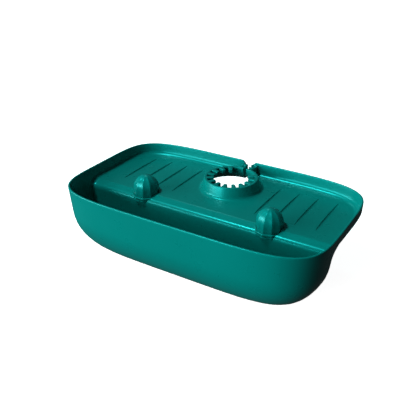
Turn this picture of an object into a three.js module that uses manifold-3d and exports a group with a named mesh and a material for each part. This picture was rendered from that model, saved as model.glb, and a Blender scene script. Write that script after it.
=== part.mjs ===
// Silicone splash guard for a kitchen tap: a shallow drain deck that lies on the sink's ledge, a toothed
// collar that wraps the tap, a slit with a clasp behind it, and a deep sponge trough that hangs in the sink.
// Millimetres, +X right, +Y to the wall behind the sink, +Z up.
// The origin is on the tap's axis, in the plane of the ledge that the deck lies on.

import * as THREE from "three";
import { mergeVertices } from "three/addons/utils/BufferGeometryUtils.js";
import Module from "manifold-3d";

const wasm = await Module();
wasm.setup();

// Driving dimensions: the tray
const RIM_LENGTH = 370;
const RIM_DEPTH = 219;
const RIM_TOP = 20.5;
const RIM_CENTRE_Y = -52;
const RIM_SQUARENESS = 5.2;
const WALL = 2;
const GAP = 0.3;

// The shallow deck
const DECK_TOP = 2.5;
const DECK_SIDE_DRAFT = 0.03;
const DECK_FILLET = 9;

// The deep trough
const TROUGH_DEPTH = 99;
const TROUGH_END_DRAFT = 0.099;
const TROUGH_FRONT_DRAFT = 0.032;
const TROUGH_END_FILLET = 62;
const TROUGH_FRONT_FILLET = 58;
const TROUGH_BACK_Y = -84;
const TROUGH_BACK_LEAN = 4;
const TROUGH_BACK_FILLET = 14;

// The sloping sill between the deck and the trough
const SILL_BACK_Y = -72.9;
const SILL_EDGE_Y = -82.2;
const SILL_EDGE_Z = -1;
const SILL_FRONT_Y = -85.6;
const SILL_BOTTOM = -6.5;
const SILL_TOE = 3.6;
const SILL_BULGE = [2.6, 1];

// The collar round the tap
const COLLAR_TOP = 18.5;
const COLLAR_INNER_R = 33.5;
const COLLAR_OUTER_R = 37.5;
const COLLAR_BASE_R = 46;
const COLLAR_BASE_INNER_R = 41;
const COLLAR_FOOT_STEP = [3.4, 1.6];
const COLLAR_FOOT_TOP = [5.3, 5.5];
const COLLAR_FLARE_STEP = [1, 8];
const COLLAR_FLARE_TOP = [3, 2.5];

// The slit behind the collar, the end of the rear wall left of it, and the fold lines of the two flaps
const SLIT_LEFT_X = 1;
const SLIT_RIGHT_X = 6;
const LEFT_WALL_END_X = -8;
const FOLD_INNER = [33.5, 1.1];
const FOLD_OUTER = [115, 57.5];
const FOLD_GAP = 0.5;

// The flexible teeth in the collar
const TOOTH_COUNT = 13;
const TOOTH_PITCH = 23.05;
const FIRST_TOOTH_ANGLE = 120.5;
const TOOTH_TIP_R = 24;
const TOOTH_ROOT_WIDTH = 7;
const TOOTH_TIP_WIDTH = 4.6;
const TOOTH_HEIGHT = 6;
const TOOTH_GAP = 0.4;

// The two fluted knobs on the sill
const KNOB_X = 93.5;
const KNOB_Y = -70.5;
const KNOB_R = 17.3;
const KNOB_DOME_Z = 9.5;
const KNOB_FLUTES = 10;
const KNOB_FLUTE_DEPTH = 1.7;
const KNOB_SEAT_Z = -3.5;
const KNOB_CLEARANCE = 0.35;
const SEAT_WALL = 1.6;
const SEAT_FRONT_RISE = 0.5;
const SEAT_FRONT_REACH = 5;
const SEAT_RAMP = 2.2;
const LEFT_KNOB_TURN = -70;
const RIGHT_KNOB_TURN = -92;

// The clasp across the slit
const CLASP_TOP = 17.5;
const CLASP_BOTTOM = 4.4;
const END_PLATE_Y = 47;
const END_PLATE_THICKNESS = 1.8;
const END_PLATE_ROOT = 1;
const END_PLATE_SETBACK = 0.5;
const NECK_THICKNESS = 2.4;
const BEAD_X = -2.6;
const BEAD_Y = 48.8;
const BEAD_R = 3.1;
const SOCKET_X = 8.6;
const SOCKET_OUTER_R = 6;
const SOCKET_INNER_R = 4.2;
const SOCKET_MOUTH = 7.2;
const BRIDGE_HALF_WIDTH = 3;
const BRIDGE_SETBACK = 4.8;
const BRIDGE_END_Y = 60;

// The drain grooves in the deck
const GROOVE_FIRST_X = 63.3;
const GROOVE_PITCH = 27.6;
const GROOVES_PER_SIDE = 4;
const GROOVE_FRONT_Y = -52;
const GROOVE_BACK_Y = 29;
const GROOVE_WIDTH = 1.6;
const GROOVE_DEPTH = 1;

// Fineness of the faceted solids
const RIM_SEGMENTS = 72;
const FILLET_STEPS = 6;
const RING_SEGMENTS = 72;
const DOME_STEPS = 6;
const STEPS_PER_FLUTE = 4;

const FAR = 300;
const BELOW = -1;
const radians = THREE.MathUtils.degToRad;

// Solids: three.js geometry made into manifold solids, so that they can be joined and cut

function solid(geometry) {
  const bare = geometry.clone();
  bare.deleteAttribute("normal");
  bare.deleteAttribute("uv");
  const merged = mergeVertices(bare, 1e-4);
  return new wasm.Manifold(new wasm.Mesh({
    numProp: 3,
    vertProperties: new Float32Array(merged.attributes.position.array),
    triVerts: new Uint32Array(merged.index.array),
  }));
}

function geometryOf(manifold) {
  const mesh = manifold.getMesh();
  const geometry = new THREE.BufferGeometry();
  geometry.setAttribute("position", new THREE.BufferAttribute(mesh.vertProperties, 3));
  geometry.setIndex(new THREE.BufferAttribute(mesh.triVerts, 1));
  geometry.computeVertexNormals();
  return geometry;
}

function box(low, high) {
  const size = high.map((value, axis) => value - low[axis]);
  const geometry = new THREE.BoxGeometry(...size);
  geometry.translate(...high.map((value, axis) => (value + low[axis]) / 2));
  return solid(geometry);
}

// A prism standing on a plan outline, given as [x, y] points or as a Shape
function prism(outline, low, high) {
  const shape = outline instanceof THREE.Shape
    ? outline
    : new THREE.Shape(outline.map(([x, y]) => new THREE.Vector2(x, y)));
  const geometry = new THREE.ExtrudeGeometry(shape, {
    depth: high - low,
    bevelEnabled: false,
    curveSegments: 10,
  });
  geometry.translate(0, 0, low);
  return solid(geometry);
}

// A bar along X whose section is an outline in Y and Z
function barAlongX(shape, halfLength) {
  const geometry = new THREE.ExtrudeGeometry(shape, {
    depth: 2 * halfLength,
    bevelEnabled: false,
    curveSegments: 5,
  });
  geometry.translate(0, 0, -halfLength);
  // the section's own x and y become Y and Z, and its depth becomes X
  geometry.applyMatrix4(new THREE.Matrix4().set(0, 0, 1, 0, 1, 0, 0, 0, 0, 1, 0, 0, 0, 0, 0, 1));
  return solid(geometry);
}

function lathe(profile) {
  const points = profile.map(([r, z]) => new THREE.Vector2(r, z));
  const geometry = new THREE.LatheGeometry(points, RING_SEGMENTS);
  geometry.rotateX(Math.PI / 2);
  return solid(geometry);
}

// How far a rounded bottom edge draws the wall in at a depth below the rim
function filletInset(depth, bottom, radius) {
  const rise = Math.min(Math.max(depth - (bottom - radius), 0), radius);
  return radius - Math.sqrt(radius * radius - rise * rise);
}

// A solid tub with the rim's outline, drafted sides and a rounded bottom edge; inset draws it in all round
function tub(form, inset, above) {
  const bottom = form.depth - inset;
  const endFillet = Math.max(form.endFillet - inset, 1);
  const frontFillet = Math.max(form.frontFillet - inset, 1);
  const deepest = Math.max(endFillet, frontFillet);
  const depths = [-above, bottom - deepest];
  for (let step = 1; step <= FILLET_STEPS; step++) {
    depths.push(bottom - deepest * (1 - Math.sin((step / FILLET_STEPS) * (Math.PI / 2))));
  }
  const rings = depths.length - 1;
  const geometry = new THREE.CylinderGeometry(1, 1, rings, RIM_SEGMENTS, rings);
  geometry.rotateX(Math.PI / 2);
  const position = geometry.attributes.position;
  const power = 2 / RIM_SQUARENESS;
  for (let i = 0; i < position.count; i++) {
    const depth = depths[Math.round(rings / 2 - position.getZ(i))];
    const x = position.getX(i);
    const y = position.getY(i);
    const endInset = inset + form.endDraft * depth + filletInset(depth, bottom, endFillet);
    const frontInset = inset + form.frontDraft * depth + filletInset(depth, bottom, frontFillet);
    const halfLength = RIM_LENGTH / 2 - endInset;
    const halfDepth = RIM_DEPTH / 2 - frontInset;
    const onAxis = Math.hypot(x, y) < 0.5;
    const plan = (value) => {
      const size = Math.abs(value);
      return onAxis || size < 1e-9 ? 0 : Math.sign(value) * size ** power;
    };
    position.setXYZ(i, halfLength * plan(x), RIM_CENTRE_Y + halfDepth * plan(y), RIM_TOP - depth);
  }
  return solid(geometry);
}

const deckForm = {
  depth: RIM_TOP,
  endDraft: DECK_SIDE_DRAFT,
  frontDraft: DECK_SIDE_DRAFT,
  endFillet: DECK_FILLET,
  frontFillet: DECK_FILLET,
};

const troughForm = {
  depth: TROUGH_DEPTH,
  endDraft: TROUGH_END_DRAFT,
  frontDraft: TROUGH_FRONT_DRAFT,
  endFillet: TROUGH_END_FILLET,
  frontFillet: TROUGH_FRONT_FILLET,
};

// A closed side outline of the trough, open to the front, with its back face and its rounded bottom corner
function troughSide(inset, backTopY) {
  const floor = RIM_TOP - TROUGH_DEPTH + inset;
  const cornerR = TROUGH_BACK_FILLET - inset;
  const backY = TROUGH_BACK_Y - inset;
  const lowY = backY - TROUGH_BACK_LEAN;
  const shape = new THREE.Shape();
  shape.moveTo(-FAR, FAR / 4);
  shape.lineTo(-FAR, floor);
  shape.lineTo(lowY - cornerR, floor);
  shape.absarc(lowY - cornerR, floor + cornerR, cornerR, -Math.PI / 2, 0, false);
  shape.lineTo(backY, SILL_BOTTOM - GAP);
  shape.lineTo(backTopY, SILL_BOTTOM - GAP);
  shape.lineTo(backTopY, FAR / 4);
  shape.closePath();
  return shape;
}

function makeTrough() {
  const outside = tub(troughForm, 0, 0).intersect(barAlongX(troughSide(0, TROUGH_BACK_Y), FAR));
  const inside = tub(troughForm, WALL, 1).intersect(barAlongX(troughSide(WALL, SILL_BACK_Y), FAR));
  return outside.subtract(inside);
}

// The plan outline of a fluted knob: sharp ridges with hollow flutes between them
function fluted(angle, radius) {
  return radius - KNOB_FLUTE_DEPTH * Math.abs(Math.sin((angle * KNOB_FLUTES) / 2));
}

function flutedPrism(centreX, turn, grow, low, high) {
  const steps = KNOB_FLUTES * STEPS_PER_FLUTE;
  const outline = [];
  for (let step = 0; step < steps; step++) {
    const angle = (step / steps) * 2 * Math.PI;
    const radius = fluted(angle, KNOB_R) + grow;
    const heading = angle + radians(turn);
    outline.push([centreX + radius * Math.cos(heading), KNOB_Y + radius * Math.sin(heading)]);
  }
  return prism(outline, low, high);
}

const knobs = [
  { name: "left_knob", x: -KNOB_X, turn: LEFT_KNOB_TURN },
  { name: "right_knob", x: KNOB_X, turn: RIGHT_KNOB_TURN },
];

function makeKnob({ x, turn }) {
  const profile = [[0, KNOB_SEAT_Z + GAP], [KNOB_R, KNOB_SEAT_Z + GAP], [KNOB_R, KNOB_DOME_Z]];
  for (let step = 1; step < DOME_STEPS; step++) {
    const rise = (step / DOME_STEPS) * (Math.PI / 2);
    profile.push([KNOB_R * Math.cos(rise), KNOB_DOME_Z + KNOB_R * Math.sin(rise)]);
  }
  profile.push([0, KNOB_DOME_Z + KNOB_R]);
  const points = profile.map(([r, z]) => new THREE.Vector2(r, z));
  const geometry = new THREE.LatheGeometry(points, KNOB_FLUTES * STEPS_PER_FLUTE);
  geometry.rotateX(Math.PI / 2);
  const position = geometry.attributes.position;
  for (let i = 0; i < position.count; i++) {
    const r = Math.hypot(position.getX(i), position.getY(i));
    const angle = Math.atan2(position.getY(i), position.getX(i));
    const scale = r > 0.01 ? fluted(angle, KNOB_R) / KNOB_R : 1;
    position.setX(i, position.getX(i) * scale);
    position.setY(i, position.getY(i) * scale);
  }
  geometry.rotateZ(radians(turn));
  geometry.translate(x, KNOB_Y, 0);
  return solid(geometry);
}

// The sill: a sloping bar that ends the deck, with a cup under each knob that hooks over its front edge
function makeSill() {
  const section = new THREE.Shape();
  section.moveTo(SILL_BACK_Y, 0);
  section.lineTo(SILL_BACK_Y, DECK_TOP);
  section.lineTo(SILL_EDGE_Y, SILL_EDGE_Z);
  const [bulgeY, bulgeZ] = SILL_BULGE;
  section.quadraticCurveTo(SILL_EDGE_Y - bulgeY, SILL_EDGE_Z - bulgeZ, SILL_FRONT_Y, SILL_BOTTOM);
  section.lineTo(SILL_FRONT_Y + SILL_TOE, SILL_BOTTOM);
  section.closePath();
  const cupSection = new THREE.Shape();
  const cupFront = KNOB_Y - KNOB_R - SEAT_FRONT_REACH;
  const cupLip = KNOB_SEAT_Z + SEAT_FRONT_RISE;
  cupSection.moveTo(cupFront, SILL_BOTTOM);
  cupSection.lineTo(cupFront, cupLip);
  cupSection.lineTo(SILL_EDGE_Y - SEAT_RAMP, cupLip);
  cupSection.lineTo(SILL_EDGE_Y, SILL_EDGE_Z);
  cupSection.lineTo(SILL_BACK_Y, DECK_TOP);
  cupSection.lineTo(-KNOB_R, DECK_TOP);
  cupSection.lineTo(-KNOB_R, SILL_BOTTOM);
  cupSection.closePath();
  let sill = barAlongX(section, FAR);
  for (const { x, turn } of knobs) {
    const cup = flutedPrism(x, turn, KNOB_CLEARANCE + SEAT_WALL, SILL_BOTTOM, FAR / 4);
    sill = sill.add(cup.intersect(barAlongX(cupSection, FAR)));
  }
  for (const { x, turn } of knobs) {
    sill = sill.subtract(flutedPrism(x, turn, KNOB_CLEARANCE, KNOB_SEAT_Z, FAR / 4));
  }
  return sill.intersect(tub(troughForm, WALL + GAP, 1));
}

// The plan region behind a fold line, from the slit outwards; grow moves its fold line out over the deck
function flapRegion(side, slitX, grow) {
  const run = [FOLD_OUTER[0] - FOLD_INNER[0], FOLD_OUTER[1] - FOLD_INNER[1]];
  const length = Math.hypot(...run);
  const along = [run[0] / length, run[1] / length];
  const start = [FOLD_INNER[0] + along[1] * grow, FOLD_INNER[1] - along[0] * grow];
  const at = (distance) => [side * (start[0] + along[0] * distance), start[1] + along[1] * distance];
  const inward = at((side * slitX - start[0]) / along[0]);
  const outward = at(2 * length);
  const outline = [inward, outward, [slitX, outward[1]]];
  return prism(side > 0 ? outline : outline.reverse(), -FAR / 2, FAR / 2);
}

const leftRegion = flapRegion(-1, SLIT_LEFT_X, -FOLD_GAP / 2);
const rightRegion = flapRegion(1, SLIT_RIGHT_X, -FOLD_GAP / 2);
const flapClearance = flapRegion(-1, 0, FOLD_GAP / 2).add(flapRegion(1, 0, FOLD_GAP / 2));

function deckShell() {
  const hole = lathe([[0, -FAR], [COLLAR_BASE_R + GAP, -FAR], [COLLAR_BASE_R + GAP, FAR], [0, FAR]]);
  let shell = tub(deckForm, 0, 0).subtract(tub(deckForm, WALL, 1));
  // the floor is a little thicker than the walls
  shell = shell.add(tub(deckForm, 0, 0).intersect(box([-FAR, -FAR, BELOW], [FAR, FAR, DECK_TOP])));
  shell = shell.intersect(box([-FAR, TROUGH_BACK_Y + GAP, BELOW], [FAR, FAR, FAR]));
  const overSill = box([-FAR, -FAR, -FAR], [FAR, SILL_BACK_Y + GAP, FAR]);
  shell = shell.subtract(tub(troughForm, WALL, 1).intersect(overSill));
  for (const { x, turn } of knobs) {
    shell = shell.subtract(flutedPrism(x, turn, KNOB_CLEARANCE + SEAT_WALL + GAP, -FAR, FAR));
  }
  for (let i = 0; i < GROOVES_PER_SIDE; i++) {
    for (const side of [-1, 1]) {
      const x = side * (GROOVE_FIRST_X + i * GROOVE_PITCH);
      shell = shell.subtract(box(
        [x - GROOVE_WIDTH / 2, GROOVE_FRONT_Y, DECK_TOP - GROOVE_DEPTH],
        [x + GROOVE_WIDTH / 2, GROOVE_BACK_Y, FAR],
      ));
    }
  }
  return shell.subtract(hole);
}

const deckBlank = deckShell();

const collarBlank = lathe([
  [COLLAR_BASE_INNER_R, 0],
  [COLLAR_BASE_R, 0],
  [COLLAR_BASE_R, DECK_TOP],
  [COLLAR_BASE_R - COLLAR_FOOT_STEP[0], DECK_TOP + COLLAR_FOOT_STEP[1]],
  [COLLAR_BASE_R - COLLAR_FOOT_TOP[0], DECK_TOP + COLLAR_FOOT_TOP[1]],
  [COLLAR_OUTER_R, COLLAR_TOP],
  [COLLAR_INNER_R, COLLAR_TOP],
  [COLLAR_INNER_R + COLLAR_FLARE_STEP[0], COLLAR_TOP - COLLAR_FLARE_STEP[1]],
  [COLLAR_INNER_R + COLLAR_FLARE_TOP[0], DECK_TOP + COLLAR_FLARE_TOP[1]],
  [COLLAR_BASE_INNER_R, 0],
]);

// A tooth: a wedge that points at the tap, narrower at its tip
function makeTooth(index) {
  const rootR = COLLAR_INNER_R - TOOTH_GAP;
  const outline = [
    [TOOTH_TIP_R, -TOOTH_TIP_WIDTH / 2],
    [rootR, -TOOTH_ROOT_WIDTH / 2],
    [rootR, TOOTH_ROOT_WIDTH / 2],
    [TOOTH_TIP_R, TOOTH_TIP_WIDTH / 2],
  ];
  const tooth = prism(outline, COLLAR_TOP - TOOTH_HEIGHT, COLLAR_TOP);
  return tooth.rotate([0, 0, FIRST_TOOTH_ANGLE + index * TOOTH_PITCH]);
}

function disc(x, y, radius) {
  const shape = new THREE.Shape();
  shape.absarc(x, y, radius, 0, 2 * Math.PI, false);
  return prism(shape, CLASP_BOTTOM, CLASP_TOP);
}

// The end plate that closes the left flap beside the slit, from the deck up to the clasp's top
function makeEndPlate() {
  const plate = box(
    [LEFT_WALL_END_X - END_PLATE_ROOT, END_PLATE_Y, 0],
    [LEFT_WALL_END_X + END_PLATE_THICKNESS, RIM_DEPTH / 2 + RIM_CENTRE_Y - END_PLATE_SETBACK, CLASP_TOP],
  );
  return plate.intersect(tub(deckForm, 0, 0));
}

// The left flap: its deck runs on to the slit, but its rear wall stops short and is closed by the end plate
function makeLeftFlap() {
  const beyondWall = box([LEFT_WALL_END_X, 0, DECK_TOP], [FAR, FAR, FAR]);
  return deckBlank.intersect(leftRegion).subtract(beyondWall).add(makeEndPlate());
}

// The tongue: a thin neck and a round bead that slips into the socket
function makeTongue() {
  const neck = box(
    [LEFT_WALL_END_X + END_PLATE_THICKNESS + GAP, BEAD_Y - NECK_THICKNESS / 2, CLASP_BOTTOM],
    [BEAD_X, BEAD_Y + NECK_THICKNESS / 2, CLASP_TOP],
  );
  return neck.add(disc(BEAD_X, BEAD_Y, BEAD_R));
}

// The socket: a C-shaped post whose mouth faces the tongue
function makeSocket() {
  const bridge = box(
    [SOCKET_X - BRIDGE_HALF_WIDTH, BEAD_Y + BRIDGE_SETBACK, CLASP_BOTTOM],
    [SOCKET_X + BRIDGE_HALF_WIDTH, BRIDGE_END_Y, CLASP_TOP],
  );
  const mouth = box(
    [SOCKET_X - 2 * SOCKET_OUTER_R, BEAD_Y - SOCKET_MOUTH / 2, 0],
    [SOCKET_X, BEAD_Y + SOCKET_MOUTH / 2, FAR],
  );
  const post = disc(SOCKET_X, BEAD_Y, SOCKET_OUTER_R).add(bridge);
  const hollow = disc(SOCKET_X, BEAD_Y, SOCKET_INNER_R);
  return post.subtract(hollow).subtract(mouth).intersect(tub(deckForm, WALL + GAP, 1));
}

// The assembly: one named mesh for each piece

const silicone = { color: 0x00827d, roughness: 0.45, metalness: 0 };
const guard = new THREE.Group();

function place(name, manifold) {
  const mesh = new THREE.Mesh(geometryOf(manifold), new THREE.MeshStandardMaterial(silicone));
  mesh.name = name;
  guard.add(mesh);
}

place("sponge_trough", makeTrough());
place("front_sill", makeSill());
place("drain_deck", deckBlank.subtract(flapClearance));
place("left_flap", makeLeftFlap());
place("right_flap", deckBlank.intersect(rightRegion));
place("collar_front", collarBlank.subtract(flapClearance));
place("collar_left", collarBlank.intersect(leftRegion));
place("collar_right", collarBlank.intersect(rightRegion));
place("clasp_tongue", makeTongue());
place("clasp_socket", makeSocket());
for (const knob of knobs) {
  place(knob.name, makeKnob(knob));
}
for (let index = 0; index < TOOTH_COUNT; index++) {
  place(`collar_tooth_${index + 1}`, makeTooth(index));
}

export default guard;
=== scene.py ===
import math

import bmesh
import bpy
from mathutils import Matrix, Vector


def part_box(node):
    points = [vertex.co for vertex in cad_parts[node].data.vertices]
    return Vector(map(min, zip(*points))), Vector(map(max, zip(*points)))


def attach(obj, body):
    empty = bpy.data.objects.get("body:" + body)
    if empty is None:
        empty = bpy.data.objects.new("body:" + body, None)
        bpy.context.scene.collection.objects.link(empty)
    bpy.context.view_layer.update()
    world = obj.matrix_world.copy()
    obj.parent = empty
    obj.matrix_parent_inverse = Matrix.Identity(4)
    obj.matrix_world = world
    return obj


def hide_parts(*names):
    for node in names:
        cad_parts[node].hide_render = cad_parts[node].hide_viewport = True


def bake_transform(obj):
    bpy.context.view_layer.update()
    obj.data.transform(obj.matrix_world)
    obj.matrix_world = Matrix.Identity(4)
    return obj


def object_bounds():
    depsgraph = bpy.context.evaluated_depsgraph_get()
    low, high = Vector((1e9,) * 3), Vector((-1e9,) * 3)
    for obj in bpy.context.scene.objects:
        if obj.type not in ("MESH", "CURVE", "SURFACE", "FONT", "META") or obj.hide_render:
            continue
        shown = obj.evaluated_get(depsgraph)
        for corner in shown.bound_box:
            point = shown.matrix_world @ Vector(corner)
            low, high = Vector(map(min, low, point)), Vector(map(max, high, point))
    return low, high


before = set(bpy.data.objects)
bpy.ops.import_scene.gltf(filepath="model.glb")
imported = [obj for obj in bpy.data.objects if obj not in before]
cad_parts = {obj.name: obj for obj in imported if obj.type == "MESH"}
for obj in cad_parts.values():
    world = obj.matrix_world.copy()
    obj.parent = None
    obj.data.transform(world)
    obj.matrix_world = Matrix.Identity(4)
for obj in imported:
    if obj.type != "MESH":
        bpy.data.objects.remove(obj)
cad_low, cad_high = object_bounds()

# Shapes are made in millimetres and brought to metres when a piece is finished
MM = 0.001
PER_METRE = 1000

# The tray, from the bounds of the parts in model.glb
HALF_LENGTH = (cad_high.x - cad_low.x) / 2 * PER_METRE
HALF_DEPTH = (cad_high.y - cad_low.y) / 2 * PER_METRE
CENTRE_Y = (cad_high.y + cad_low.y) / 2 * PER_METRE
RIM_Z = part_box("drain_deck")[1].z * PER_METRE
BOTTOM_Z = cad_low.z * PER_METRE
SQUARENESS = 5.2
# The heading along the side is taken from this share of the half depth at most
WIDEST_SHARE = 0.97

# The silicone wall, and the moulding's draft
WALL = 2.5
LIP_ROUND = 0.85
LIP_ANGLE = 50
SIDE_DRAFT = 0.031
TROUGH_END_DRAFT = 0.099
# Where the trough's draft fades into the deck's, as shares of the half depth
DRAFT_FADE = (-0.35, 0.3)

# The drain deck and the sloping sill in front of it, as corners with their rounding
DECK_TOP = 2.5
DECK_FILLET = 7
FLAT_MARGIN = 3
DECK_FRONT_Y = -66
SILL_CORNERS = [(DECK_FRONT_Y, DECK_TOP, 0), (-72.9, DECK_TOP, 7),
                (-85.7, -2.3, 8), (-86.5, -14, 0)]

# The sponge trough
FLOOR_Z = BOTTOM_Z + WALL
END_FILLET = 59.5
FRONT_FILLET = 55.5
BACK_FILLET = 11.5
BACK_Y = -86.5
BACK_LEAN = 4
BACK_TOP_Z = -14
BACK_EDGE_DROP = 3
# The rounded foot of the end wall, as a share of the trough's depth from front to back
FOOT_SHARE = 0.3
# The turns of the front's rounded foot at which the trough's wall has a row
FOOT_TURNS = (88, 80, 74, 68, 62, 56, 50, 44, 38, 33, 28, 23, 18, 13, 9, 6)

# The collar round the tap
COLLAR_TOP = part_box("collar_front")[1].z * PER_METRE
COLLAR_BASE_R = 46.5
COLLAR_FOOT_INSET = 0.4
COLLAR_FOOT_ROUND = 6.0
COLLAR_LEAN = math.radians(74)
COLLAR_FOOT_STEPS = 8
COLLAR_LIP_ROUND = 0.9
COLLAR_LIP_STEPS = 4
COLLAR_LIP_SWEEP = 85
# The rounded top's two corners, as radius and start angle
COLLAR_LIPS = ((36.6, 10), (34.4, 90))
# The flared inside, as radius and height
COLLAR_INSIDE = [(33.6, 15), (34.2, 11.5), (35.2, 8), (36.8, 4.8), (38.8, 2), (41, 0)]
RING_STEPS = 180

# The slit and the fold lines of the flaps
SLIT_LEFT_X = 1
SLIT_RIGHT_X = 6
LEFT_WALL_END_X = -8
WALL_CORNER = 5.5
WALL_CORNER_STEPS = 6
MIDDLE_X = (SLIT_LEFT_X + SLIT_RIGHT_X) / 2
SLIT_FRONT_Y = 20
FOLD_INNER = (33.5, 1.1)
FOLD_OUTER = (115, 57.5)
BEND_WIDTH = 9

# How far the cutters reach past the tray
CUT_LOW = -20
CUT_HIGH = 30
CUT_BACK_Y = 80
WALL_GAP_DEPTH = 33
WALL_GAP_RISE = 5
# Keeps the wall gap's faces off the slit's and the deck's
CUT_OFFSET = 0.02
FLAP_REACH = 220
FLAP_LOW = -120
FLAP_HIGH = 60

# The knobs
KNOB_Z = 9.5
KNOB_R = 17.3
KNOB_FLUTES = 10
FLUTE_DEPTH = 1.1
KNOB_SEAT_Z = -2
KNOB_SEAT_GAP = 0.3
KNOB_FOOT_ROUND = 0.8
KNOB_FOOT_IN = 0.2
KNOB_FOOT_UP = 0.25
KNOB_SIDE_ROWS = 4
KNOB_DOME_ROWS = 20
KNOB_STEPS_PER_FLUTE = 16
KNOB_CLEARANCE = 0.4
SEAT_WALL = 1.8
SEAT_FLOOR = 3
SEAT_TOP = DECK_TOP - 1.2
SEAT_LIP_Z = -0.4
SEAT_LIP_ROUND = 0.7
SEAT_TAPER = 4.4
SEAT_FOOT_SCALE = 0.8
# The front lip overlaps the cup, so that their faces don't coincide
SEAT_OVERLAP = 0.05
SEAT_FRONT_FLOOR = 0.5
KNOB_TURNS = {"left_knob": -70, "right_knob": -92}
KNOB_PLACES = {"left_knob": (-93.5, -70.5), "right_knob": (93.5, -70.5)}
FLUTE_STEPS = 10

# The teeth
TOOTH_COUNT = 13
FIRST_TOOTH_ANGLE = 120.5
TOOTH_PITCH = 23.05
TOOTH_TIP_R = 24.0
TOOTH_ROOT_R = 33.9
TOOTH_TIP_HALF = 2.3
TOOTH_ROOT_HALF = 3.5
TOOTH_THICKNESS = 6
TOOTH_TOP_GAP = 0.05
TOOTH_ROUND = 0.55

# The clasp
CLASP_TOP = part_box("clasp_tongue")[1].z * PER_METRE
CLASP_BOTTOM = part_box("clasp_tongue")[0].z * PER_METRE
BEAD = (-2.6, 48.8)
BEAD_R = 3.1
SOCKET = (8.6, 48.8)
SOCKET_OUTER_R = 6
SOCKET_INNER_R = 4.2
TONGUE_HALF = 1.2
TONGUE_ROOT_X = LEFT_WALL_END_X + 1.6
TONGUE_ROOT_LENGTH = 1.6
PLATE_X = (LEFT_WALL_END_X - 0.6, LEFT_WALL_END_X + 1.8)
PLATE_Y = (BEAD[1] - 1.8, 56.6)
PLATE_ROUND = 0.6
# Half the socket's mouth, in degrees, and how much wider it is on the inside
SOCKET_MOUTH = 37
SOCKET_MOUTH_FLARE = 6
BRIDGE_FRONT_Y = SOCKET[1] + 5
BRIDGE_BACK_Y = 56
BRIDGE_FRONT_HALF = 3
BRIDGE_BACK_HALF = 4
BRIDGE_TOP_GAP = 0.2
TONGUE_ROUND = 0.5
SOCKET_ROUND = 0.45
BRIDGE_ROUND = 0.4
BEAD_STEPS = 28
SOCKET_STEPS = 30

# Fineness of the tray's mesh
REAR_COLUMNS = 220
FRONT_COLUMNS = 200
ACROSS_COLUMNS = 60
RIM_ROWS = 4
ARC_STEPS = 8
BEND_STEPS = 8
BEND_SLICES = 6
ROUND_STEPS = 3
AXIS_R = 0.001

# The studio: a large low key from the front left, a small high light and a weak rear one. The small
# lights are tinted for the look
WHITE = (1, 1, 1)
TEAL_TINT = (0.45, 1, 1)
ROOM_LIGHT = 0.035
PAPER_GLOW = 0.95
PAPER_HALF_SIZE = 4
PAPER_DROP = 0.0004
# Each light's name, direction, distance, size, power and colour
LIGHTS = [("key_softbox", (-0.62, -0.78, 0.2), 2.6, (3.4, 1.2), 128, WHITE),
          ("high_softbox", (-0.34, -0.27, 0.9), 1.8, (0.22, 0.22), 20, TEAL_TINT),
          ("rear_softbox", (-0.455, 0.5, 0.74), 1.8, (0.25, 0.15), 1.2, TEAL_TINT)]

# The camera
CAMERA_LENS = 50.05
CAMERA_SENSOR = 36
CAMERA_PLACE = (0.3466, -0.6375, 0.3563)
CAMERA_AZIMUTH = math.radians(31.06)
CAMERA_ELEVATION = math.radians(28.09)

# The silicone. Its highlights are tinted for the look, where real silicone's are near white
SILICONE_IOR = 1.41
SHEEN_LEVEL = 0.9
SHEEN_TINT = "#30ffff"
PIGMENT_CLOUD = 0.06
WIPED_PATCH = 0.025
TOOL_DIMPLE = 0.0006
PAPER_GRAIN = 0.004

# The drain grooves
GROOVE_FIRST_X = 63.3
GROOVE_PITCH = 27.6
GROOVES_PER_SIDE = 4
GROOVE_FRONT_Y = -53
GROOVE_BACK_Y = 30
GROOVE_HALF_WIDTH = 2.1
GROOVE_LIFT = 0.1


# ---------------------------------------------------------------- mesh tools

def sheet(bm, columns, rows, place):
    """A grid of columns by rows, with each corner where place(column, row) says."""
    made = bmesh.ops.create_grid(bm, x_segments=columns, y_segments=rows, size=0.5)["verts"]
    for v in made:
        v.co = Vector(place(round((v.co.x + 0.5) * columns), round((v.co.y + 0.5) * rows)))


def merge(bm, distance=0.002):
    bmesh.ops.remove_doubles(bm, verts=bm.verts, dist=distance)


def prism(bm, outline, low, high):
    """A closed prism that stands on a plan outline."""
    face = bm.faces.new([bm.verts.new((x, y, low)) for x, y in outline])
    grown = bmesh.ops.extrude_face_region(bm, geom=[face])["geom"]
    tops = [g for g in grown if isinstance(g, bmesh.types.BMVert)]
    bmesh.ops.translate(bm, verts=tops, vec=(0, 0, high - low))
    return tops


def spin_profile(bm, profile, steps, turn=math.tau):
    """A profile of (radius, z) points turned about the Z axis."""
    verts = [bm.verts.new((r, 0, z)) for r, z in profile]
    edges = [bm.edges.new(pair) for pair in zip(verts, verts[1:] + verts[:1])]
    bmesh.ops.spin(bm, geom=verts + edges, cent=(0, 0, 0), axis=(0, 0, 1), dvec=(0, 0, 0),
                   angle=turn, steps=steps, use_merge=turn == math.tau, use_duplicate=False)


def bevel(bm, edges, offset, segments):
    bmesh.ops.bevel(bm, geom=edges, offset=offset, offset_type="OFFSET", affect="EDGES",
                    segments=segments, profile=0.5, clamp_overlap=True, material=-1)


def sharp_edges(bm, angle):
    return [e for e in bm.edges
            if len(e.link_faces) == 2 and e.calc_face_angle(0) > math.radians(angle)]


def end_edges(bm):
    """The sharp edges round an upright prism's two ends."""
    return [e for e in sharp_edges(bm, 60) if abs(e.verts[0].co.z - e.verts[1].co.z) < 0.01]


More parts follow.
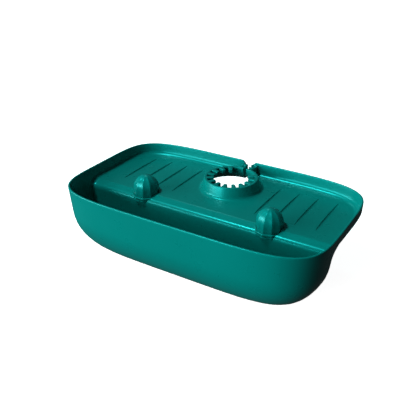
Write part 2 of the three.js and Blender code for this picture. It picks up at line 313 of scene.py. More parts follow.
def scratch(bm):
    """A mesh object, still in millimetres, for a step that needs a modifier."""
    bmesh.ops.recalc_face_normals(bm, faces=bm.faces)
    mesh = bpy.data.meshes.new("scratch")
    bm.to_mesh(mesh)
    bm.free()
    made = bpy.data.objects.new("scratch", mesh)
    bpy.context.scene.collection.objects.link(made)
    return made


def applied(obj):
    """The object's mesh with its modifiers applied; the object itself is removed."""
    bpy.context.view_layer.update()
    graph = bpy.context.evaluated_depsgraph_get()
    mesh = bpy.data.meshes.new_from_object(obj.evaluated_get(graph))
    bpy.data.objects.remove(obj)
    return mesh


def combined(mesh, operation, cutter, keep_cutter=False):
    """mesh joined with, cut by or kept inside the cutter object."""
    obj = bpy.data.objects.new("blank", mesh.copy())
    bpy.context.scene.collection.objects.link(obj)
    step = obj.modifiers.new("cut", "BOOLEAN")
    step.operation = operation
    step.solver = "EXACT"
    step.object = cutter
    result = applied(obj)
    if not keep_cutter:
        bpy.data.objects.remove(cutter)
    return result


def finish_piece(name, mesh, material, sharp=32):
    """A named object at the origin, in metres, smooth with crisp edges where its faces turn sharply."""
    bm = bmesh.new()
    bm.from_mesh(mesh)
    bmesh.ops.scale(bm, vec=(MM, MM, MM), verts=bm.verts)
    for face in bm.faces:
        face.smooth = True
        face.material_index = 0
    for edge in bm.edges:
        edge.smooth = not (len(edge.link_faces) == 2 and edge.calc_face_angle(0) > math.radians(sharp))
    made = bpy.data.meshes.new(name)
    bm.to_mesh(made)
    bm.free()
    made.materials.append(material)
    obj = bpy.data.objects.new(name, made)
    bpy.context.scene.collection.objects.link(obj)
    return obj


def piece_from(name, bm, material, sharp=32):
    mesh = bpy.data.meshes.new("made")
    bm.to_mesh(mesh)
    bm.free()
    return finish_piece(name, mesh, material, sharp)


# ---------------------------------------------------------------- materials

def linear(code):
    """An sRGB hex colour as linear RGBA."""
    parts = [int(code[i:i + 2], 16) / 255 for i in (1, 3, 5)]
    return tuple(c / 12.92 if c <= 0.04045 else ((c + 0.055) / 1.055) ** 2.4 for c in parts) + (1.0,)


def add(tree, kind, settings=None, **links):
    """A node with its settings, and its inputs set to a value or linked to another node's socket."""
    node = tree.nodes.new(kind)
    for key, value in (settings or {}).items():
        setattr(node, key, value)
    for key, value in links.items():
        socket = node.inputs[key.replace("_", " ")]
        if isinstance(value, bpy.types.NodeSocket):
            tree.links.new(value, socket)
        else:
            socket.default_value = value
    return node


def silicone(name, low_colour, high_colour, roughness):
    """Pigmented silicone rubber, compression moulded in a bead-blasted steel tool: satin, with a soft
    broad highlight, a very fine dimple from the blasted tool, and patches that are a little more matt."""
    material = bpy.data.materials.new(name)
    material.use_nodes = True
    tree = material.node_tree
    shader = tree.nodes["Principled BSDF"]
    place = add(tree, "ShaderNodeTexCoord").outputs["Object"]
    # cloudy pigment, 60 mm across
    cloud = add(tree, "ShaderNodeTexNoise", Vector=place, Scale=1 / PIGMENT_CLOUD, Detail=3.0,
                Roughness=0.5)
    colour = add(tree, "ShaderNodeMix", {"data_type": "RGBA"})
    tree.links.new(cloud.outputs["Fac"], colour.inputs[0])
    colour.inputs[6].default_value = linear(low_colour)
    colour.inputs[7].default_value = linear(high_colour)
    tree.links.new(colour.outputs[2], shader.inputs["Base Color"])
    # handled and wiped patches, 25 mm across
    patch = add(tree, "ShaderNodeTexNoise", Vector=place, Scale=1 / WIPED_PATCH, Detail=4.0,
                Roughness=0.6)
    sheen_map = add(tree, "ShaderNodeMapRange", Value=patch.outputs["Fac"])
    sheen_map.inputs["From Min"].default_value = 0.3
    sheen_map.inputs["From Max"].default_value = 0.7
    sheen_map.inputs["To Min"].default_value = roughness - 0.03
    sheen_map.inputs["To Max"].default_value = roughness + 0.04
    tree.links.new(sheen_map.outputs["Result"], shader.inputs["Roughness"])
    # the blasted tool's dimple is 0.05 mm in reality, drawn at 0.6 mm so that it shows
    dimple = add(tree, "ShaderNodeTexNoise", Vector=place, Scale=1 / TOOL_DIMPLE, Detail=2.0,
                 Roughness=0.5)
    bump = add(tree, "ShaderNodeBump", Height=dimple.outputs["Fac"], Strength=0.05, Distance=0.0001)
    tree.links.new(bump.outputs["Normal"], shader.inputs["Normal"])
    shader.inputs["IOR"].default_value = SILICONE_IOR
    shader.inputs["Specular IOR Level"].default_value = SHEEN_LEVEL
    shader.inputs["Specular Tint"].default_value = linear(SHEEN_TINT)
    return material


def studio_paper():
    """Matt white paper that glows a little, so that only soft contact shade shows."""
    material = bpy.data.materials.new("matt_white_paper")
    material.use_nodes = True
    tree = material.node_tree
    shader = tree.nodes["Principled BSDF"]
    place = add(tree, "ShaderNodeTexCoord").outputs["Object"]
    grain = add(tree, "ShaderNodeTexNoise", Vector=place, Scale=1 / PAPER_GRAIN, Detail=2.0)
    colour = add(tree, "ShaderNodeMix", {"data_type": "RGBA"})
    tree.links.new(grain.outputs["Fac"], colour.inputs[0])
    colour.inputs[6].default_value = linear("#f6f6f6")
    colour.inputs[7].default_value = linear("#ffffff")
    tree.links.new(colour.outputs[2], shader.inputs["Base Color"])
    shader.inputs["Roughness"].default_value = 0.9
    shader.inputs["Emission Color"].default_value = (1, 1, 1, 1)
    shader.inputs["Emission Strength"].default_value = PAPER_GLOW
    return material


tray_silicone = silicone("satin_moulded_silicone_tray", "#00726c", "#007872", 0.29)
knob_silicone = silicone("satin_moulded_silicone_knob", "#00706b", "#007671", 0.28)


# ---------------------------------------------------------------- the tray's skin

def hollow(height, radius):
    """How far a rounded bottom edge draws a wall in, at a height above the floor."""
    rise = min(max(radius - height, 0), radius)
    return radius - math.sqrt(radius * radius - rise * rise)


def smooth_step(value, start, end):
    t = min(max((value - start) / (end - start), 0), 1)
    return t * t * (3 - 2 * t)


def half_sizes(z, share, inset):
    """The outline's half length and half depth at a height; share is where along Y, from -1 to 1."""
    depth = RIM_Z - z
    height = z - FLOOR_Z
    draft = TROUGH_END_DRAFT + (SIDE_DRAFT - TROUGH_END_DRAFT) * smooth_step(share, *DRAFT_FADE)
    return (HALF_LENGTH - WALL - inset - draft * depth - hollow(height, END_FILLET),
            HALF_DEPTH - WALL - inset - SIDE_DRAFT * depth - hollow(height, FRONT_FILLET))


def on_outline(heading, z, inset=0.0):
    """The wall's point in a heading round the outline, in the outline's own squared proportions."""
    c, s = math.cos(heading), math.sin(heading)
    reach = (abs(c) ** SQUARENESS + abs(s) ** SQUARENESS) ** (-1 / SQUARENESS)
    a, b = half_sizes(z, s * reach, inset)
    return Vector((a * reach * c, CENTRE_Y + b * reach * s, z))


def heading_at(y, z, inset=0.0):
    """The heading on the +X side whose wall point has this y."""
    b = half_sizes(z, 0, inset)[1]
    share = max(min((y - CENTRE_Y) / b, WIDEST_SHARE), -WIDEST_SHARE)
    return math.atan2(share, (1 - abs(share) ** SQUARENESS) ** (1 / SQUARENESS))


def rounded_path(corners, arc_steps):
    """Stations (y, z, lean) along a line with rounded corners; lean turns from 0, flat, to 90 degrees,
    facing -Y."""
    stations = [(corners[0][0], corners[0][1], 0.0)]
    for before, corner, after in zip(corners, corners[1:], corners[2:]):
        here = Vector(corner[:2])
        back = (Vector(before[:2]) - here).normalized()
        ahead = (Vector(after[:2]) - here).normalized()
        lean_in = math.atan2(back.y, back.x)
        lean_out = math.atan2(-ahead.y, -ahead.x)
        reach = corner[2] * math.tan((lean_out - lean_in) / 2)
        start = here + back * reach
        centre = start - Vector((-math.sin(lean_in), math.cos(lean_in))) * corner[2]
        for step in range(arc_steps + 1):
            lean = lean_in + (lean_out - lean_in) * step / arc_steps
            point = centre + Vector((-math.sin(lean), math.cos(lean))) * corner[2]
            stations.append((point.x, point.y, lean))
    return stations


def back_wall_y(z):
    lean = BACK_LEAN * (BACK_TOP_Z - z) / (BACK_TOP_Z - FLOOR_Z)
    return BACK_Y - lean - hollow(z - FLOOR_Z, BACK_FILLET)


def tray_stations():
    """The stations that the wall's foot is swept through: along the deck and sill, and on down the
    trough's back."""
    path = [(y, z, lean, DECK_FILLET) for y, z, lean in rounded_path(SILL_CORNERS, BEND_STEPS)]
    edge = len(path) - BEND_STEPS - 1
    levels = [BACK_TOP_Z, BACK_TOP_Z - BACK_EDGE_DROP]
    levels += [FLOOR_Z + FRONT_FILLET * (1 - math.cos(math.radians(turn))) for turn in FOOT_TURNS]
    down = []
    for z in levels:
        y = back_wall_y(z)
        front = CENTRE_Y - half_sizes(z, -1, 0)[1]
        down.append((y, z, math.pi / 2, min(DECK_FILLET, FOOT_SHARE * (y - front))))
    return path[:edge + 1], path[edge:] + down


def section_point(station, step):
    """A point of a swept section on the +X side: the wall's foot at step 0, the end of the rounded foot
    at ARC_STEPS, and a strip of flat beyond it."""
    path_y, path_z, lean, fillet = station
    turn = min(step / ARC_STEPS, 1) * math.pi / 2
    height = fillet * (1 - math.sin(turn))
    inset = fillet * (1 - math.cos(turn))
    if step > ARC_STEPS:
        inset = fillet * (DECK_FILLET + FLAT_MARGIN) / DECK_FILLET
    y, z = path_y - height * math.sin(lean), path_z + height * math.cos(lean)
    if z > BACK_TOP_Z - 1:
        return on_outline(heading_at(y, z, inset), z, inset)
    return Vector((on_outline(heading_at(path_y - fillet, z), z).x - inset, y, z))


def mirrored(point):
    return Vector((-point.x, point.y, point.z))


def side_column(station, row):
    """A column of the side wall and its rounded foot, at a station of the deck's front or the sill."""
    if row >= RIM_ROWS:
        return section_point(station, row - RIM_ROWS)
    foot = section_point(station, 0)
    z = RIM_Z + (foot.z - RIM_Z) * row / RIM_ROWS
    return on_outline(heading_at(foot.y, z), z)


def deck_side(stations):
    """Place function for the rear and side walls, their rounded foot and a strip of the deck beside
    them."""
    ahead = len(stations) - 1

    def place(column, row):
        if column < ahead:
            return side_column(stations[ahead - column], row)
        if column > ahead + REAR_COLUMNS:
            return mirrored(side_column(stations[column - ahead - REAR_COLUMNS], row))
        first = side_column(stations[0], row)
        inset = 0.0
        if row > RIM_ROWS:
            turn = min((row - RIM_ROWS) / ARC_STEPS, 1) * math.pi / 2
            flat = FLAT_MARGIN if row > RIM_ROWS + ARC_STEPS else 0
            inset = DECK_FILLET * (1 - math.cos(turn)) + flat
        start = heading_at(first.y, first.z, inset)
        return on_outline(start + (math.pi - 2 * start) * (column - ahead) / REAR_COLUMNS, first.z, inset)
    return place


def trough_front(stations):
    """Place function for the front and end walls, from the rim down to the trough's floor."""
    def place(column, row):
        foot = section_point(stations[max(row - RIM_ROWS, 0)], 0)
        z = foot.z if row >= RIM_ROWS else RIM_Z + (foot.z - RIM_Z) * row / RIM_ROWS
        start = heading_at(foot.y, z)
        return on_outline(-math.pi - start + (math.pi + 2 * start) * column / FRONT_COLUMNS, z)
    return place


def between_margins(stations, corner_steps):
    """Place function from end to end across the tray; corner_steps columns at each end follow the
    rounded foot."""
    def place(column, row):
        last = ACROSS_COLUMNS + 2 * corner_steps
        from_end = min(column, last - column)
        if from_end < corner_steps:
            point = section_point(stations[row], from_end)
            return point if column > last / 2 else mirrored(point)
        margin = section_point(stations[row], ARC_STEPS + 1)
        share = (column - corner_steps) / ACROSS_COLUMNS
        return Vector((margin.x * (2 * share - 1), margin.y, margin.z))
    return place


def tray_skin():
    """The tray's inner and upper face as one open sheet, with its faces towards the inside."""
    bm = bmesh.new()
    deck_rows, trough_rows = tray_stations()
    corner = ARC_STEPS + 1
    sheet(bm, REAR_COLUMNS + 2 * (len(deck_rows) - 1), RIM_ROWS + corner, deck_side(deck_rows))
    sheet(bm, FRONT_COLUMNS, RIM_ROWS + len(trough_rows) - 1, trough_front(trough_rows))
    sheet(bm, ACROSS_COLUMNS, len(deck_rows) - 1, between_margins(deck_rows, 0))
    sheet(bm, ACROSS_COLUMNS + 2 * corner, len(trough_rows) - 1, between_margins(trough_rows, corner))
    merge(bm)
    open_edges = [e for e in bm.edges if e.is_boundary and e.verts[0].co.z < RIM_Z - 0.01]
    deck_edges = [e for e in open_edges if e.verts[0].co.z > 0]
    floor_edges = [e for e in open_edges if e.verts[0].co.z < 0]
    bmesh.ops.contextual_create(bm, geom=deck_edges)
    bmesh.ops.triangle_fill(bm, edges=floor_edges, use_beauty=True, use_dissolve=False)
    bmesh.ops.recalc_face_normals(bm, faces=bm.faces)
    widest = max(bm.faces, key=lambda f: f.calc_area())
    if widest.normal.z < 0:
        bmesh.ops.reverse_faces(bm, faces=bm.faces)
    return bm


def thickened(bm):
    """The skin given its wall, with a rounded lip round the rim."""
    mesh = bpy.data.meshes.new("skin")
    bm.to_mesh(mesh)
    bm.free()
    obj = bpy.data.objects.new("skin", mesh)
    bpy.context.scene.collection.objects.link(obj)
    wall = obj.modifiers.new("wall", "SOLIDIFY")
    wall.thickness = WALL
    wall.offset = -1
    wall.use_rim = True
    mesh = applied(obj)
    bm = bmesh.new()
    bm.from_mesh(mesh)
    lip = [e for e in sharp_edges(bm, LIP_ANGLE) if min(v.co.z for v in e.verts) > RIM_Z - 1]
    bevel(bm, lip, LIP_ROUND, ROUND_STEPS)
    made = bpy.data.meshes.new("tray")
    bm.to_mesh(made)
    bm.free()
    return made


# ---------------------------------------------------------------- cutters

def fluted_radius(angle, radius):
    """The radius of a fluted outline: sharp ridges with hollow flutes between them."""
    return radius - FLUTE_DEPTH * abs(math.sin(angle * KNOB_FLUTES / 2))


def fluted_outline(name, grow):
    x, y = KNOB_PLACES[name]
    steps = KNOB_FLUTES * FLUTE_STEPS
    outline = []
    for step in range(steps):
        angle = step / steps * math.tau
        heading = angle + math.radians(KNOB_TURNS[name])
        radius = fluted_radius(angle, KNOB_R) + grow
        outline.append((x + radius * math.cos(heading), y + radius * math.sin(heading)))
    return outline


def seat_cups():
    """Fluted cups under the knobs; at the front they stand out over the sill's edge."""
    bm = bmesh.new()
    slope = math.atan2(DECK_TOP - SILL_CORNERS[2][1], SILL_CORNERS[1][0] - SILL_CORNERS[2][0])
    for name in KNOB_TURNS:
        outline = fluted_outline(name, KNOB_CLEARANCE + SEAT_WALL)
        cup = bmesh.new()
        prism(cup, outline, KNOB_SEAT_Z - SEAT_FLOOR, SEAT_TOP)
        bmesh.ops.recalc_face_normals(cup, faces=cup.faces)
        cut = bmesh.ops.bisect_plane(
            cup, geom=cup.verts[:] + cup.edges[:] + cup.faces[:], dist=1e-4,
            plane_co=(0, SILL_CORNERS[1][0], SEAT_TOP),
            plane_no=(0, -math.sin(slope), math.cos(slope)), clear_outer=True)
        edges = [g for g in cut["geom_cut"] if isinstance(g, bmesh.types.BMEdge)]
        bmesh.ops.contextual_create(cup, geom=edges)
        mesh = bpy.data.meshes.new("cup")
        cup.to_mesh(mesh)
        cup.free()
        bm.from_mesh(mesh)
    bmesh.ops.recalc_face_normals(bm, faces=bm.faces)
    return scratch(bm)


def seat_fronts():
    """The cups' scalloped front lips, level with the sill's edge, over an underside that tapers back to
    the wall."""
    bm = bmesh.new()
    for name in KNOB_TURNS:
        part = bmesh.new()
        x, y = KNOB_PLACES[name]
        outline = fluted_outline(name, KNOB_CLEARANCE + SEAT_WALL + SEAT_OVERLAP)
        lip = set(prism(part, outline, KNOB_SEAT_Z - SEAT_FRONT_FLOOR, SEAT_LIP_Z))
        low = [f for f in part.faces
               if abs(f.normal.z) > 0.9 and f.calc_center_median().z < KNOB_SEAT_Z]
        grown = bmesh.ops.extrude_face_region(part, geom=low)["geom"]
        foot = [g for g in grown if isinstance(g, bmesh.types.BMVert)]
        bmesh.ops.delete(part, geom=low, context="FACES")
        bmesh.ops.translate(part, verts=foot, vec=(0, 0, -SEAT_TAPER))
        bmesh.ops.scale(part, verts=foot, vec=(SEAT_FOOT_SCALE, SEAT_FOOT_SCALE, 1),
                        space=Matrix.Translation((-x, -y, 0)))
        bmesh.ops.recalc_face_normals(part, faces=part.faces)
        bevel(part, [e for e in part.edges if e.verts[0] in lip and e.verts[1] in lip],
              SEAT_LIP_ROUND, ROUND_STEPS)
        mesh = bpy.data.meshes.new("front")
        part.to_mesh(mesh)
        part.free()
        bm.from_mesh(mesh)
    return scratch(bm)


def seat_hollows():
    bm = bmesh.new()
    for name in KNOB_TURNS:
        prism(bm, fluted_outline(name, KNOB_CLEARANCE), KNOB_SEAT_Z, RIM_Z + 20)
    return scratch(bm)


def grooves():
    """Long shallow boats, so that each groove runs out to nothing at its ends."""
    bm = bmesh.new()
    length = GROOVE_BACK_Y - GROOVE_FRONT_Y
    for i in range(GROOVES_PER_SIDE):
        for side in (-1, 1):
            x = side * (GROOVE_FIRST_X + i * GROOVE_PITCH)
            boat = bmesh.ops.create_uvsphere(bm, u_segments=12, v_segments=24, radius=1)["verts"]
            bmesh.ops.rotate(bm, verts=boat, cent=(0, 0, 0),
                             matrix=Matrix.Rotation(math.pi / 2, 3, "X"))
            bmesh.ops.scale(bm, verts=boat, vec=(GROOVE_HALF_WIDTH, length / 2, GROOVE_HALF_WIDTH))
            bmesh.ops.translate(bm, verts=boat,
                                vec=(x, GROOVE_FRONT_Y + length / 2, DECK_TOP + GROOVE_LIFT))
    return scratch(bm)


def bore():
    bm = bmesh.new()
    spin_profile(bm, [(AXIS_R, CUT_LOW), (COLLAR_BASE_R, CUT_LOW), (COLLAR_BASE_R, CUT_HIGH),
                      (AXIS_R, CUT_HIGH)], RING_STEPS)
    merge(bm)
    return scratch(bm)


def slit(high):
    """The slit that runs from the tap's hole out through the rear wall."""
    bm = bmesh.new()
    prism(bm, [(SLIT_LEFT_X, SLIT_FRONT_Y), (SLIT_RIGHT_X, SLIT_FRONT_Y), (SLIT_RIGHT_X, CUT_BACK_Y),
               (SLIT_LEFT_X, CUT_BACK_Y)], CUT_LOW, high)
    return scratch(bm)


def wall_gap():
    """The gap between the rear wall's ends, whose top corners are rounded."""
    bm = bmesh.new()
    right_x = SLIT_RIGHT_X + CUT_OFFSET
    left_centre_x = LEFT_WALL_END_X - WALL_CORNER
    outline = [(LEFT_WALL_END_X, DECK_TOP + CUT_OFFSET), (right_x, DECK_TOP + CUT_OFFSET)]
    for centre_x, start in ((right_x + WALL_CORNER, math.pi), (left_centre_x, math.pi / 2)):
        for step in range(WALL_CORNER_STEPS + 1):
            turn = start - step / WALL_CORNER_STEPS * math.pi / 2
            outline.append((centre_x + WALL_CORNER * math.cos(turn),
                            RIM_Z + (math.sin(turn) - 1) * WALL_CORNER))
        if start == math.pi:
            outline += [(centre_x, RIM_Z + WALL_GAP_RISE), (left_centre_x, RIM_Z + WALL_GAP_RISE)]
    prism(bm, outline, 0, WALL_GAP_DEPTH)
    bmesh.ops.transform(bm, matrix=Matrix.Rotation(math.pi / 2, 4, "X"), verts=bm.verts)
    bmesh.ops.translate(bm, verts=bm.verts, vec=(0, CUT_BACK_Y, 0))
    return scratch(bm)


def fold_run():
    """The right fold line's direction in plan, outwards."""
    return Vector((FOLD_OUTER[0] - FOLD_INNER[0], FOLD_OUTER[1] - FOLD_INNER[1])).normalized()


def flap_region(side, slit_x):
    """The plan triangle behind a fold line, from the slit outwards."""
    along = fold_run()
    start = Vector(FOLD_INNER)

    def at(distance):
        point = start + along * distance
        return (side * point.x, point.y)
    inward = at((side * slit_x - start.x) / along.x)
    outward = at(FLAP_REACH)
    bm = bmesh.new()
    prism(bm, [inward, outward, (slit_x, outward[1])], FLAP_LOW, FLAP_HIGH)
    return scratch(bm)


# ---------------------------------------------------------------- pieces

def fold_frame(side):
    """A point on a flap's fold line, and the direction across it into the flap."""
    run = fold_run()
    return Vector((side * FOLD_INNER[0], FOLD_INNER[1], 0)), Vector((-side * run.y, run.x, 0))


def flap_bend(piece):
    """Bakes the piece's placement into its mesh; no bend is made here."""
    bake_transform(piece)


def sliced(mesh, side):
    """The mesh with edges across it, in a narrow band behind the fold line."""
    start, across = fold_frame(side)
    bm = bmesh.new()
    bm.from_mesh(mesh)
    for step in range(1, BEND_SLICES + 1):
        bmesh.ops.bisect_plane(bm, geom=bm.verts[:] + bm.edges[:] + bm.faces[:], dist=1e-4,
                               plane_co=start + across * BEND_WIDTH * step / BEND_SLICES,
                               plane_no=across)
    made = bpy.data.meshes.new("sliced")
    bm.to_mesh(made)
    bm.free()
    return made


def make_tray():
    tray = thickened(tray_skin())
    tray = combined(tray, "UNION", seat_cups())
    tray = combined(tray, "UNION", seat_fronts())
    tray = combined(tray, "DIFFERENCE", seat_hollows())
    tray = combined(tray, "DIFFERENCE", grooves())
    tray = combined(tray, "DIFFERENCE", bore())
    tray = combined(tray, "DIFFERENCE", wall_gap())
    tray = combined(tray, "DIFFERENCE", slit(DECK_TOP + 4))
    regions = {-1: flap_region(-1, MIDDLE_X), 1: flap_region(1, MIDDLE_X)}
    for side, name in ((-1, "left_flap"), (1, "right_flap")):
        flap = combined(tray, "INTERSECT", regions[side], keep_cutter=True)
        piece = finish_piece(name + "_skin", sliced(flap, side), tray_silicone)
        flap_bend(piece)
        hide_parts(name)
    for side in (-1, 1):
        tray = combined(tray, "DIFFERENCE", regions[side])
    shell = finish_piece("tray_shell", tray, tray_silicone)
    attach(shell, "base")
    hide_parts("sponge_trough", "front_sill", "drain_deck")


def collar_profile():
    """The collar's section: a foot that runs out on the deck, a leaning wall, a rounded top and a flared
    inside."""
    points = [(COLLAR_BASE_R, 0), (COLLAR_BASE_R, DECK_TOP)]
    for step in range(COLLAR_FOOT_STEPS + 1):
        turn = step / COLLAR_FOOT_STEPS * COLLAR_LEAN
        points.append((COLLAR_BASE_R - COLLAR_FOOT_INSET - COLLAR_FOOT_ROUND * math.sin(turn),
                       DECK_TOP + COLLAR_FOOT_ROUND * (1 - math.cos(turn))))
    for centre_r, start in COLLAR_LIPS:
        for step in range(COLLAR_LIP_STEPS + 1):
            turn = math.radians(start + step / COLLAR_LIP_STEPS * COLLAR_LIP_SWEEP)
            points.append((centre_r + COLLAR_LIP_ROUND * math.cos(turn),
                           COLLAR_TOP - COLLAR_LIP_ROUND + COLLAR_LIP_ROUND * math.sin(turn)))
    return points + COLLAR_INSIDE


def make_collar():
    bm = bmesh.new()
    spin_profile(bm, collar_profile(), RING_STEPS)
    merge(bm)
    bmesh.ops.recalc_face_normals(bm, faces=bm.faces)
    ring = bpy.data.meshes.new("ring")
    bm.to_mesh(ring)
    bm.free()
    ring = combined(ring, "DIFFERENCE", slit(COLLAR_TOP + 5))
    regions = {-1: flap_region(-1, MIDDLE_X), 1: flap_region(1, MIDDLE_X)}
    for side, name in ((-1, "collar_left"), (1, "collar_right")):
        arc = combined(ring, "INTERSECT", regions[side], keep_cutter=True)
        piece = finish_piece(name + "_arc", sliced(arc, side), tray_silicone)
        flap_bend(piece)
        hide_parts(name)
    for side in (-1, 1):
        ring = combined(ring, "DIFFERENCE", regions[side])
    front = finish_piece("collar_front_arc", ring, tray_silicone)
    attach(front, "base")
    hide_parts("collar_front")


def make_tooth(index):
    """A tooth: a wedge that narrows towards the tap, with rounded edges."""
    bm = bmesh.new()
    outline = [(TOOTH_TIP_R, -TOOTH_TIP_HALF), (TOOTH_ROOT_R, -TOOTH_ROOT_HALF),
               (TOOTH_ROOT_R, TOOTH_ROOT_HALF), (TOOTH_TIP_R, TOOTH_TIP_HALF)]
    prism(bm, outline, COLLAR_TOP - TOOTH_THICKNESS, COLLAR_TOP - TOOTH_TOP_GAP)
    bmesh.ops.recalc_face_normals(bm, faces=bm.faces)
    off_root = [e for e in bm.edges if min(v.co.x for v in e.verts) < TOOTH_ROOT_R - 1]
    bevel(bm, off_root, TOOTH_ROUND, ROUND_STEPS)
    turn = math.radians(FIRST_TOOTH_ANGLE + index * TOOTH_PITCH)
    bmesh.ops.rotate(bm, verts=bm.verts, cent=(0, 0, 0), matrix=Matrix.Rotation(turn, 3, "Z"))
    name = f"collar_tooth_{index + 1}"
    tooth = piece_from(name + "_wedge", bm, tray_silicone)
    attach(tooth, name)
    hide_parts(name)


def make_knob(name):
    """A fluted dome knob: a turned blank whose outline is hollowed between the ridges."""
    bm = bmesh.new()
    bottom = KNOB_SEAT_Z + KNOB_SEAT_GAP
    profile = [(AXIS_R, bottom), (KNOB_R - KNOB_FOOT_ROUND, bottom),
               (KNOB_R - KNOB_FOOT_IN, bottom + KNOB_FOOT_UP), (KNOB_R, bottom + KNOB_FOOT_ROUND)]
    side = KNOB_Z - bottom - KNOB_FOOT_ROUND
    profile += [(KNOB_R, bottom + KNOB_FOOT_ROUND + side * step / KNOB_SIDE_ROWS)
                for step in range(1, KNOB_SIDE_ROWS + 1)]
    for step in range(1, KNOB_DOME_ROWS):
        turn = step / KNOB_DOME_ROWS * math.pi / 2
        profile.append((KNOB_R * math.cos(turn), KNOB_Z + KNOB_R * math.sin(turn)))
    profile.append((AXIS_R, KNOB_Z + KNOB_R))
    spin_profile(bm, profile, KNOB_FLUTES * KNOB_STEPS_PER_FLUTE)
    for v in bm.verts:
        angle = math.atan2(v.co.y, v.co.x)
        scale = fluted_radius(angle, KNOB_R) / KNOB_R
        v.co.x *= scale
        v.co.y *= scale
    merge(bm, 0.01)
    bmesh.ops.recalc_face_normals(bm, faces=bm.faces)
    bmesh.ops.rotate(bm, verts=bm.verts, cent=(0, 0, 0),
                     matrix=Matrix.Rotation(math.radians(KNOB_TURNS[name]), 3, "Z"))
    bmesh.ops.translate(bm, verts=bm.verts, vec=(*KNOB_PLACES[name], 0))
    knob = piece_from(name + "_dome", bm, knob_silicone, sharp=50)
    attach(knob, name)
    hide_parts(name)


def circle_points(centre, radius, start, end, steps):
    return [(centre[0] + radius * math.cos(math.radians(start + (end - start) * i / steps)),
             centre[1] + radius * math.sin(math.radians(start + (end - start) * i / steps)))
            for i in range(steps + 1)]


def make_tongue():
    """The clasp's tongue, with the bead at its end."""
    touch = math.degrees(math.asin(TONGUE_HALF / BEAD_R))
    outline = circle_points(BEAD, BEAD_R, -180 + touch, 180 - touch, BEAD_STEPS)
    root_x = TONGUE_ROOT_X
    outline += [(root_x + TONGUE_ROOT_LENGTH, BEAD[1] + TONGUE_HALF), (root_x, BEAD[1] + TONGUE_HALF),
                (root_x, BEAD[1] - TONGUE_HALF), (root_x + TONGUE_ROOT_LENGTH, BEAD[1] - TONGUE_HALF)]
    bm = bmesh.new()
    prism(bm, outline, CLASP_BOTTOM, CLASP_TOP)
    bmesh.ops.recalc_face_normals(bm, faces=bm.faces)
    bevel(bm, end_edges(bm), TONGUE_ROUND, ROUND_STEPS)
    tongue = piece_from("clasp_tongue_bead", bm, tray_silicone)
    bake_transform(tongue)
    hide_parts("clasp_tongue")


def make_end_plate():
    """The plate at the end of the left flap's wall that the tongue grows from."""
    plate = bmesh.new()
    prism(plate, [(PLATE_X[0], PLATE_Y[0]), (PLATE_X[1], PLATE_Y[0]), (PLATE_X[1], PLATE_Y[1]),
                  (PLATE_X[0], PLATE_Y[1])], DECK_TOP - 1, CLASP_TOP)
    bmesh.ops.recalc_face_normals(plate, faces=plate.faces)
    bevel(plate, plate.edges[:], PLATE_ROUND, ROUND_STEPS)
    end_plate = piece_from("left_flap_end_plate", plate, tray_silicone)
    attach(end_plate, "left_flap")


def make_socket_bridge():
    """The web between the socket's post and the rear wall."""
    bridge = bmesh.new()
    prism(bridge, [(SOCKET[0] - BRIDGE_FRONT_HALF, BRIDGE_FRONT_Y),
                   (SOCKET[0] + BRIDGE_FRONT_HALF, BRIDGE_FRONT_Y),
                   (SOCKET[0] + BRIDGE_BACK_HALF, BRIDGE_BACK_Y),
                   (SOCKET[0] - BRIDGE_BACK_HALF, BRIDGE_BACK_Y)],
          CLASP_BOTTOM, CLASP_TOP - BRIDGE_TOP_GAP)
    bmesh.ops.recalc_face_normals(bridge, faces=bridge.faces)
    bevel(bridge, sharp_edges(bridge, 60), BRIDGE_ROUND, 2)
    web = piece_from("clasp_socket_bridge", bridge, tray_silicone)
    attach(web, "right_flap")


def make_socket_post():
    """The C-shaped post across the slit that takes the bead."""
    mouth = 180 - SOCKET_MOUTH
    outline = circle_points(SOCKET, SOCKET_OUTER_R, -mouth, mouth, SOCKET_STEPS)
    inner = mouth - SOCKET_MOUTH_FLARE
    outline += circle_points(SOCKET, SOCKET_INNER_R, inner, -inner, SOCKET_STEPS)
    bm = bmesh.new()
    prism(bm, outline, CLASP_BOTTOM, CLASP_TOP)
    bmesh.ops.recalc_face_normals(bm, faces=bm.faces)
    bevel(bm, end_edges(bm), SOCKET_ROUND, ROUND_STEPS)
    post = piece_from("clasp_socket_post", bm, tray_silicone)
    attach(post, "right_flap")
    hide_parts("clasp_socket")


# ---------------------------------------------------------------- studio

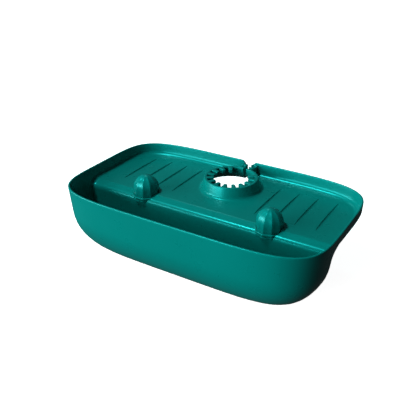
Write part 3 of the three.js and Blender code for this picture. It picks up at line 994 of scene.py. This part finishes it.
def make_studio():
    bm = bmesh.new()
    bmesh.ops.create_grid(bm, x_segments=1, y_segments=1, size=PAPER_HALF_SIZE)
    mesh = bpy.data.meshes.new("paper_floor")
    bm.to_mesh(mesh)
    bm.free()
    mesh.materials.append(studio_paper())
    floor = bpy.data.objects.new("paper_floor", mesh)
    floor.location = (0, 0, cad_low.z - PAPER_DROP)
    # the glowing paper doesn't light the object
    floor.visible_diffuse = False
    floor.visible_glossy = False
    bpy.context.scene.collection.objects.link(floor)

    world = bpy.data.worlds.new("studio")
    bpy.context.scene.world = world
    world.use_nodes = True
    tree = world.node_tree
    seen = add(tree, "ShaderNodeLightPath").outputs["Is Camera Ray"]
    level = add(tree, "ShaderNodeMapRange", Value=seen)
    level.inputs["To Min"].default_value = ROOM_LIGHT
    level.inputs["To Max"].default_value = 1.0
    background = tree.nodes["Background"]
    background.inputs["Color"].default_value = (1, 1, 1, 1)
    tree.links.new(level.outputs["Result"], background.inputs["Strength"])

    for name, direction, distance, size, power, tint in LIGHTS:
        add_light(name, Vector(direction).normalized() * distance, size, power, tint)


def add_light(name, place, size, power, tint):
    light = bpy.data.lights.new(name, "AREA")
    light.shape = "RECTANGLE"
    light.size, light.size_y = size
    light.energy = power
    light.color = tint
    obj = bpy.data.objects.new(name, light)
    obj.location = place
    obj.rotation_euler = (-place).to_track_quat("-Z", "Y").to_euler()
    bpy.context.scene.collection.objects.link(obj)


def make_camera():
    camera = bpy.data.cameras.new("camera")
    camera.lens = CAMERA_LENS
    camera.sensor_width = CAMERA_SENSOR
    obj = bpy.data.objects.new("camera", camera)
    obj.location = CAMERA_PLACE
    level = math.cos(CAMERA_ELEVATION)
    back = Vector((math.sin(CAMERA_AZIMUTH) * level, -math.cos(CAMERA_AZIMUTH) * level,
                   math.sin(CAMERA_ELEVATION)))
    obj.rotation_euler = (-back).to_track_quat("-Z", "Y").to_euler()
    bpy.context.scene.collection.objects.link(obj)
    bpy.context.scene.camera = obj


make_camera()
make_studio()
make_tray()
make_collar()
for tooth_index in range(TOOTH_COUNT):
    make_tooth(tooth_index)
for knob_name in KNOB_TURNS:
    make_knob(knob_name)
make_tongue()
make_end_plate()
make_socket_bridge()
make_socket_post()
bpy.context.scene.view_settings.view_transform = "Standard"
